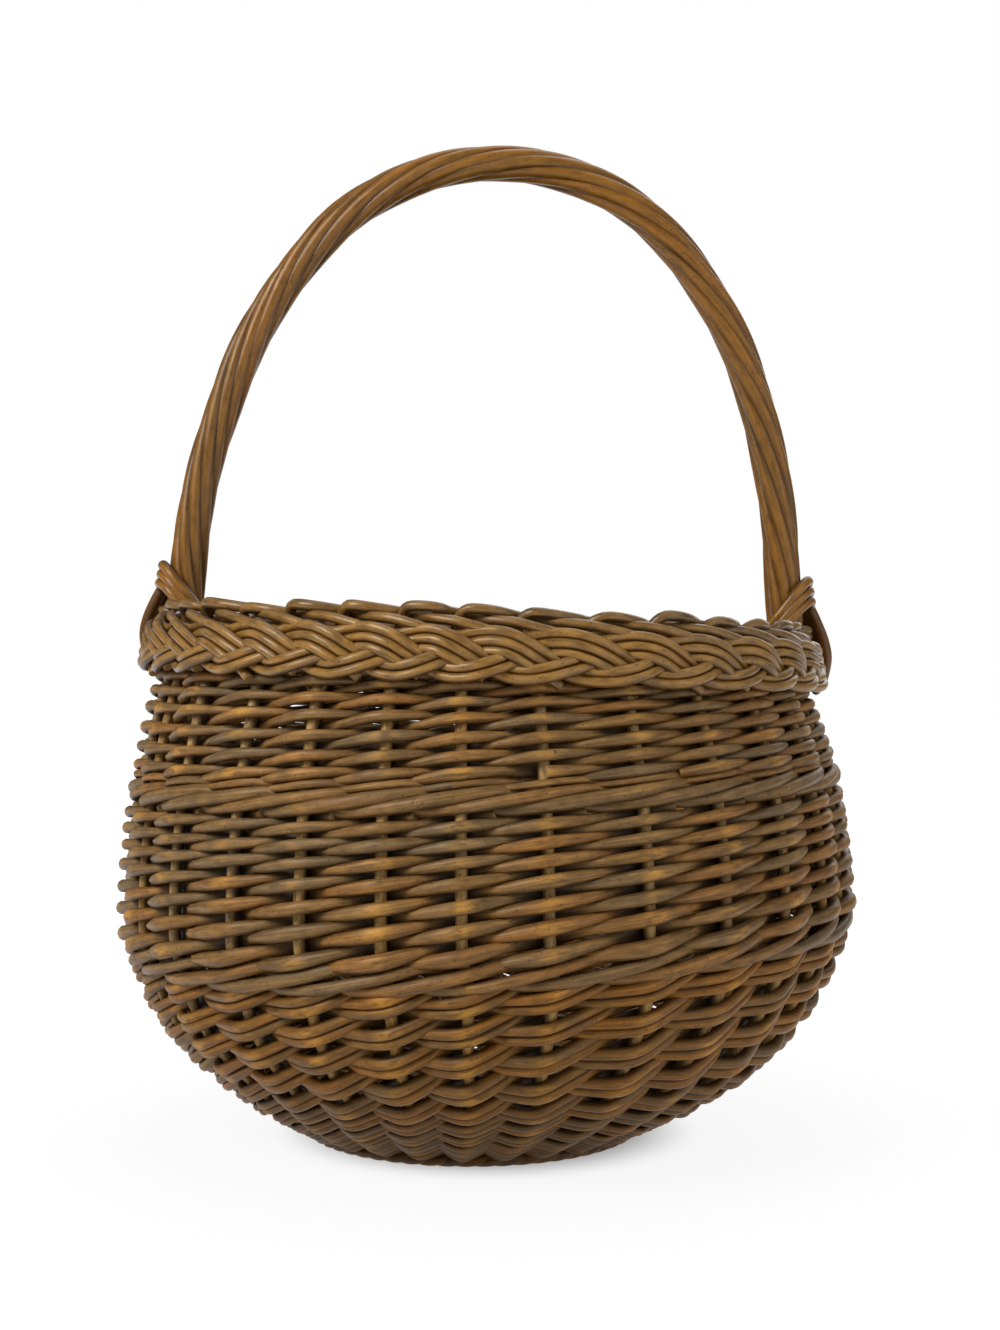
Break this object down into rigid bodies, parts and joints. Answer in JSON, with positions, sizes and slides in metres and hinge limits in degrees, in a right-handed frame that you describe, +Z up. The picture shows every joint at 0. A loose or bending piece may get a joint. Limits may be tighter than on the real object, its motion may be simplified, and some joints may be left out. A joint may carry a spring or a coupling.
{
  "type": "round wicker basket",
  "caption": "Round-bellied woven willow basket with a plaited border and a fixed roped bow handle, for carrying or storing light goods.",
  "frame": {"origin": "on the ground, under the middle of the belly: the centre of the bounding box's bottom face", "axes": "+Z up; the handle's bow runs along X within 3 degrees; -Y is the side the picture shows"},
  "size_m": [0.3324, 0.3324, 0.4508],
  "materials": {
    "stakes": "weathered willow, matt",
    "weave": "weathered willow, satin",
    "bowl": "weathered willow, satin, darker",
    "border": "weathered willow, satin",
    "handle": "willow worn smooth by hands, satin"
  },
  "bodies": {
    "root": {"base_stick_1": "bowl", "base_stick_2": "bowl", "base_stick_3": "bowl", "base_stick_4": "bowl", "base_stick_5": "bowl", "base_stick_6": "bowl", "base_stick_7": "bowl", "base_weaver_a": "bowl", "base_weaver_b": "bowl", "foot_ring": "bowl", "lower_weaver_a": "bowl", "lower_weaver_b": "bowl", "lower_wale": "weave", "middle_weaver_a": "weave", "middle_weaver_b": "weave", "upper_wale": "weave", "upper_weaver_a": "weave", "upper_weaver_b": "weave", "stake_01": "stakes", "stake_02": "stakes", "stake_03": "stakes", "stake_04": "stakes", "stake_05": "stakes", "stake_06": "stakes", "stake_07": "stakes", "stake_08": "stakes", "stake_09": "stakes", "stake_10": "stakes", "stake_11": "stakes", "stake_12": "stakes", "stake_13": "stakes", "stake_14": "stakes", "stake_15": "stakes", "stake_16": "stakes", "stake_17": "stakes", "stake_18": "stakes", "stake_19": "stakes", "stake_20": "stakes", "stake_21": "stakes", "stake_22": "stakes", "stake_23": "stakes", "stake_24": "stakes", "stake_25": "stakes", "stake_26": "stakes", "stake_27": "stakes", "stake_28": "stakes", "border_plait": "border", "handle_bow": "handle", "left_foot_loop": "handle", "right_foot_loop": "handle", "handle_rod_1": "handle", "handle_rod_2": "handle", "handle_rod_3": "handle", "handle_rod_4": "handle", "handle_rod_5": "handle", "handle_rod_6": "handle", "handle_rod_7": "handle", "handle_rod_8": "handle"}
  },
  "joints": []
}
